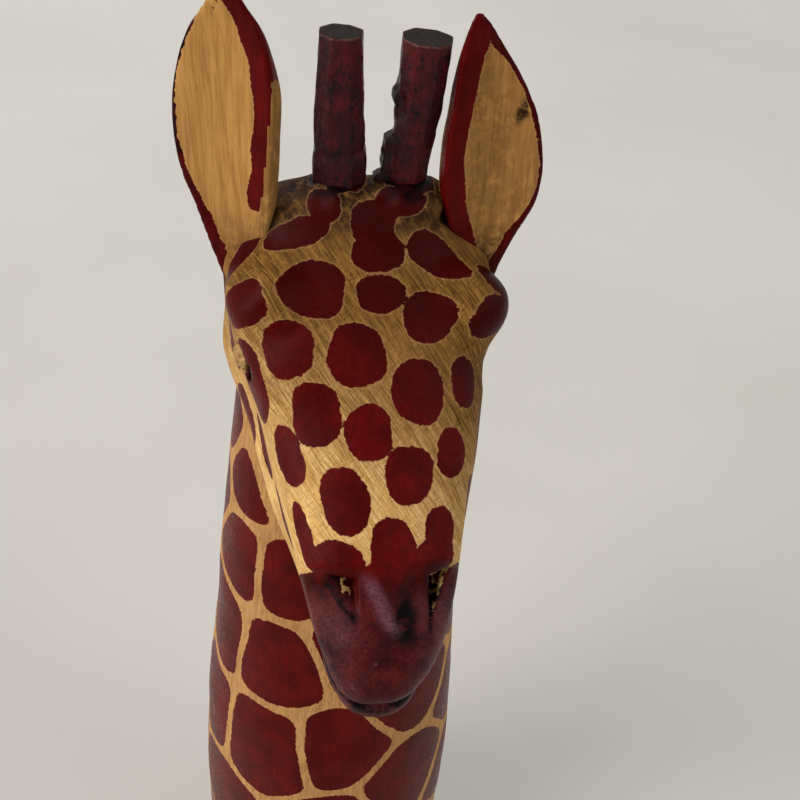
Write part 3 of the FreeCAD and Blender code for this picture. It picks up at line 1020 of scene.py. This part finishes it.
def dowel_wood(name):
    m = Mat(name)
    g = m.noise(m.scaled(m.pos(), (1.6, 1.6, 0.12)), 1.0, 3, 0.6, 0.3)
    col = m.mix(m.remap(g, 0.35, 0.66), lin(206, 170, 118), lin(160, 118, 70))
    return m.finish(col, 0.6, m.bump(g, 0.4, 0.0003))


BLOCK_WOOD = painted_wood("spotted_wood", lin(206, 156, 98), lin(158, 108, 62), True, 0.62)
EAR_WOOD = painted_wood("ear_wood", lin(198, 146, 80), lin(158, 108, 54), False, 0.25)
HORN_WOOD, HORN_END = stick_wood("stained_stick"), end_grain("stick_end")
PLUG_WOOD, DOWEL_WOOD = plug_wood("pale_plug"), dowel_wood("dowel_wood")

# ---- block and ears
xs = spaced((-39, -20, 0.88), (-20, 20, 0.70), (20, 39, 0.88))
ys = spaced((-79, -44, 0.68), (-44, 38, 0.90))
zs = spaced((-1, 168, 1.75), (168, 222, 0.69), (222, 268, 0.80))
verts, quads = surface_nets(xs, ys, zs, block_shape)
verts[:, 2] = np.maximum(verts[:, 2], 0)
block = make("carved_block_skin", verts, quads, "carved_block", block_paint(verts))
block.data.materials.append(BLOCK_WOOD)

for side, name in ((-1, "ear_left"), (1, "ear_right")):
    cx, cy, cz = mirrored(EARS[side]["base"], side)
    runs = ((cx - 17, cx + 17, 0.62), (cy - 8, cy + 14, 0.55), (cz - 10, cz + 54, 0.68))
    verts, quads = surface_nets(*map(spaced, runs), lambda p, side=side: ear_field(p, side))
    ob = make(name + "_skin", verts, quads, name, ear_paint(verts, side))
    ob.data.materials.append(EAR_WOOD)

# ---- horns
# Sideways shifts and eight corner radii at heights (keys) over the foot, held below the first one.
# Torn wood is (reach towards the other horn, from height, to height).
HORNS = {
    "horn_left": dict(
        keys=[-3, 6, 17, 31], dx=[0.2, 0, -0.5, -0.9], dy=[0, 0.1, 0.4, 0.8],
        radii=[(5.7, 5.5, 5.8, 5.6, 5.9, 5.5, 5.7, 5.5), (5.7, 5.4, 5.6, 5.7, 5.8, 5.4, 5.5, 5.7),
               (5.0, 5.2, 5.1, 4.9, 5.3, 5.1, 4.9, 5.1), (4.5, 4.3, 4.6, 4.4, 4.4, 4.6, 4.4, 4.3)],
        torn=[], knuckle=9.5, slope=(0.02, 0.03)),
    "horn_right": dict(
        keys=[-3, 7, 18, 31], dx=[-0.4, 0, 1.1, 1.7], dy=[0, 0.1, 0.5, 1.0],
        radii=[(4.3, 4.2, 4.4, 4.5, 4.3, 4.2, 4.4, 4.2), (4.3, 4.4, 4.3, 4.5, 4.4, 4.2, 4.3, 4.4),
               (4.8, 4.9, 4.9, 4.7, 4.8, 4.7, 4.7, 5.0), (5.4, 5.2, 5.3, 5.0, 5.1, 5.3, 5.4, 5.1)],
        torn=[(8.4, -6, 2.6), (6.7, 2.4, 4.4), (5.5, 4.6, 12.2), (5.2, 18.8, 21.2)],
        knuckle=None, slope=(-0.02, 0.04)),
}
AROUND, ROWS = 88, 70
HORN_LOW, HORN_TOP = -6, 31
CORNERS = 8
STEP = 2 * math.pi / CORNERS      # angle from one corner to the next
# rings of the saw cut: share of the rim's radius, rise over the rim
SAW_CUT = ((0.975, -0.07), (0.93, -0.01), (0.75, 0.01), (0.5, -0.01), (0.25, 0.0), (0.06, 0.0))


def whittled_radius(h, v, theta, seed):
    """Radius round an eight-sided stick with softened corners, at height v."""
    r8 = np.array([np.interp(v, h["keys"], column) for column in zip(*h["radii"])])
    places = np.stack([np.arange(CORNERS) * 3.7, np.full(CORNERS, v), np.full(CORNERS, seed * 9.0)], 1)
    r8 = r8 + noise(places, 9, seed) * 0.16
    t = (theta - 0.35 * STEP) % (2 * math.pi)
    i = np.minimum((t / STEP).astype(int), CORNERS - 1)
    f = t - i * STEP
    a, b = r8[i], r8[(i + 1) % CORNERS]
    r = a * b * math.sin(STEP) / (a * np.sin(f) + b * np.sin(STEP - f))
    return 0.5 * r + 0.25 * (np.roll(r, 1) + np.roll(r, -1))


def torn_wood(h, v, theta, r):
    """Radius with the flakes left towards the other horn, and 1 where they stand."""
    bark = np.zeros(len(theta))
    towards = -np.cos(theta)
    for far, low, top in h["torn"]:
        if low - 0.9 <= v <= top + 0.9:
            lip = smooth(top + 0.9, top - 0.6, v) * smooth(low - 0.9, low + 0.5, v)
            edge = np.minimum(far / np.maximum(towards, 0.05), 1.9 / np.maximum(np.abs(np.sin(theta)), 0.05))
            grow = np.maximum(np.where(towards > 0, edge, 0) - r, 0) * lip
            r = r + grow
            bark = np.maximum(bark, grow > 0.05)
    return r, bark


def horn_side(h, foot, seed):
    theta = np.arange(AROUND) * 2 * math.pi / AROUND
    rows, bark = [], []
    for v in np.linspace(HORN_LOW, HORN_TOP, ROWS):
        r = whittled_radius(h, v, theta, seed)
        if h["knuckle"]:
            at = v - h["knuckle"] - 0.9 * np.sin(theta + 0.6)
            r = r - 0.34 * hump(at, 0, 0.8) + 0.12 * hump(at, -2.4, 1.6)
        r, rough = torn_wood(h, v, theta, r)
        x = foot[0] + np.interp(v, h["keys"], h["dx"]) + r * np.cos(theta)
        y = foot[1] + np.interp(v, h["keys"], h["dy"]) + r * np.sin(theta)
        pts = np.stack([x, y, np.full(AROUND, foot[2] + v)], 1)
        inner = smooth(0.35, 0.8, -np.cos(theta)) * (len(h["torn"]) > 0) * smooth(26, 20, v)
        bumps = 0.60 * noise(pts * np.array([1, 1, 0.7]), 1.5, seed + 60) * inner
        bumps += 0.10 * noise(pts, 2.6, seed + 3) + 0.07 * noise(pts, 1.1, seed + 4)
        pts[:, 0] += bumps * np.cos(theta)
        pts[:, 1] += bumps * np.sin(theta)
        rows.append(pts)
        bark.append(np.maximum(rough, inner * 0.6))
    return rows, bark


def horn_mesh(h, foot, seed):
    rows, bark = horn_side(h, foot, seed)
    rim = rows[-1]
    centre = rim.mean(0)
    for share, rise in SAW_CUT:
        ring = centre + (rim - centre) * share
        ring[:, 2] = rim[:, 2] + rise
        ring[:, 2] += 0.05 * noise(ring, 1.2, seed + 5)
        rows.append(ring)
        bark.append(np.zeros(AROUND))
    grid = np.array(rows)
    # the saw cut is not quite level
    tilt = (grid[:, :, :2] - centre[:2]) @ np.array(h["slope"])
    grid[:, :, 2] += smooth(20, HORN_TOP, grid[:, :, 2] - foot[2]) * tilt
    faces = []
    for i in range(len(grid) - 1):
        for j in range(AROUND):
            a, b = i * AROUND + j, i * AROUND + (j + 1) % AROUND
            faces.append((a, b, b + AROUND, a + AROUND))
    points = grid.reshape(-1, 3)
    faces.append(tuple(range(len(points) - AROUND, len(points))))
    faces.append(tuple(range(AROUND - 1, -1, -1)))
    worn = np.zeros(len(points))
    worn[(ROWS - 1) * AROUND:ROWS * AROUND] = 1.0
    radius = np.hypot(points[:, 0] - centre[0], points[:, 1] - centre[1])
    return points, faces, dict(bark=np.concatenate(bark), worn=worn, radius=radius)


for k, (name, h) in enumerate(HORNS.items()):
    points, faces, attrs = horn_mesh(h, np.array(HORN_FEET[name], float), 70 + k)
    ob = make(name + "_skin", points, faces, name, attrs)
    ob.data.materials.append(HORN_WOOD)
    ob.data.materials.append(HORN_END)
    for poly in ob.data.polygons:
        if min(poly.vertices) >= ROWS * AROUND:
            poly.material_index = 1


def eye_field(p, side):
    """Whittled plug: a slightly tapered peg with a domed, uneven tip."""
    a, r = eye_axis(p, side)
    d = smax(r - 2.35 - 0.05 * a, a - 0.6 + 0.10 * r ** 2, 1.0)
    d = smax(d, -5.2 - a, 0.5)
    return d + 0.34 * noise(p, 1.7, 81 + side) + 0.12 * noise(p, 0.7, 83)


EYE_SPAN = 4.6
for side, name in ((-1, "eye_left"), (1, "eye_right")):
    centre = EYE_TIPS[side] - np.array([side * 2.2, -1.4, 0])
    grid = [spaced((c - EYE_SPAN, c + EYE_SPAN, 0.26)) for c in centre]
    verts, quads = surface_nets(*grid, lambda p, side=side: eye_field(p, side))
    ob = make(name + "_skin", verts, quads, name)
    ob.data.materials.append(PLUG_WOOD)

# ---- woods on the CAD nodes
NODE_WOOD = (
    (DOWEL_WOOD, ("ear_left_dowel", "ear_right_dowel", "horn_left_dowel", "horn_right_dowel")),
    (PLUG_WOOD, ("carved_block", "ear_left", "ear_right", "eye_left", "eye_right")),
    (HORN_WOOD, ("horn_left", "horn_right")),
)
for material, names in NODE_WOOD:
    for name in names:
        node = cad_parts[name]
        node.data.materials.clear()
        node.data.materials.append(material)

# ---- room, in metres
FLOOR_SIDE, FLOOR_CELLS = 8, 24


def floor_object():
    mesh = bpy.data.meshes.new("floor")
    line = [(i / FLOOR_CELLS - 0.5) * FLOOR_SIDE for i in range(FLOOR_CELLS + 1)]
    width = len(line)
    corners = [i * width + j for i in range(FLOOR_CELLS) for j in range(FLOOR_CELLS)]
    quads = [(a, a + width, a + width + 1, a + 1) for a in corners]
    mesh.from_pydata([(x, y, 0.0) for x in line for y in line], [], quads)
    m = Mat("floor")
    patches = m.remap(m.noise(m.pos(1.0), 3.0, 3, 0.5), 0.3, 0.7)
    mesh.materials.append(m.finish(m.mix(patches, lin(197, 193, 186), lin(191, 187, 179)), 0.7))
    ob = bpy.data.objects.new("floor", mesh)
    bpy.context.collection.objects.link(ob)
    return ob


floor = floor_object()

world = bpy.data.worlds.new("studio")
bpy.context.scene.world = world
world.use_nodes = True
background = world.node_tree.nodes["Background"]
background.inputs["Color"].default_value = (0.98, 0.985, 1.0, 1)
background.inputs["Strength"].default_value = 0.24


def lamp(name, at, to, size, power, colour=(1, 1, 1)):
    data = bpy.data.lights.new(name, "AREA")
    data.shape, data.size, data.energy, data.color = "DISK", size, power, colour
    ob = bpy.data.objects.new(name, data)
    ob.location = at
    ob.rotation_euler = (Vector(to) - Vector(at)).to_track_quat("-Z", "Y").to_euler()
    bpy.context.collection.objects.link(ob)


lamp("key", (-5.5, -1.8, 3.4), (0, 0, 0.2), 4.6, 350, (1.0, 0.99, 0.975))
lamp("above", (-0.2, 2.1, 3.1), (0, 0, 0), 3.4, 84)
lamp("fill", (2.4, -1.5, 2.0), (0, 0, 0.2), 2.0, 24)


# ---- camera
def camera(at, azimuth, elevation, roll, lens):
    """Camera at a point in millimetres, its angles in degrees round the object."""
    a, e, r = map(math.radians, (azimuth, elevation, roll))
    ahead = -Vector((math.sin(a) * math.cos(e), -math.cos(a) * math.cos(e), math.sin(e)))
    level = Vector((math.cos(a), math.sin(a), 0))
    upright = level.cross(ahead)
    right = level * math.cos(r) + upright * math.sin(r)
    up = upright * math.cos(r) - level * math.sin(r)
    data = bpy.data.cameras.new("camera")
    data.lens, data.sensor_width, data.clip_start, data.clip_end = lens, 36, 0.005, 50
    ob = bpy.data.objects.new("camera", data)
    place = Matrix((right, up, -ahead)).transposed().to_4x4()
    place.translation = Vector(at) * MM
    ob.matrix_world = place
    bpy.context.collection.objects.link(ob)
    bpy.context.scene.camera = ob


camera((-30.12, -192.71, 348.27), -12.44, 36.33, 6.18, 45)
bpy.context.scene.view_settings.view_transform = "Standard"
bpy.context.scene.view_settings.look = "None"

bpy.context.view_layer.update()
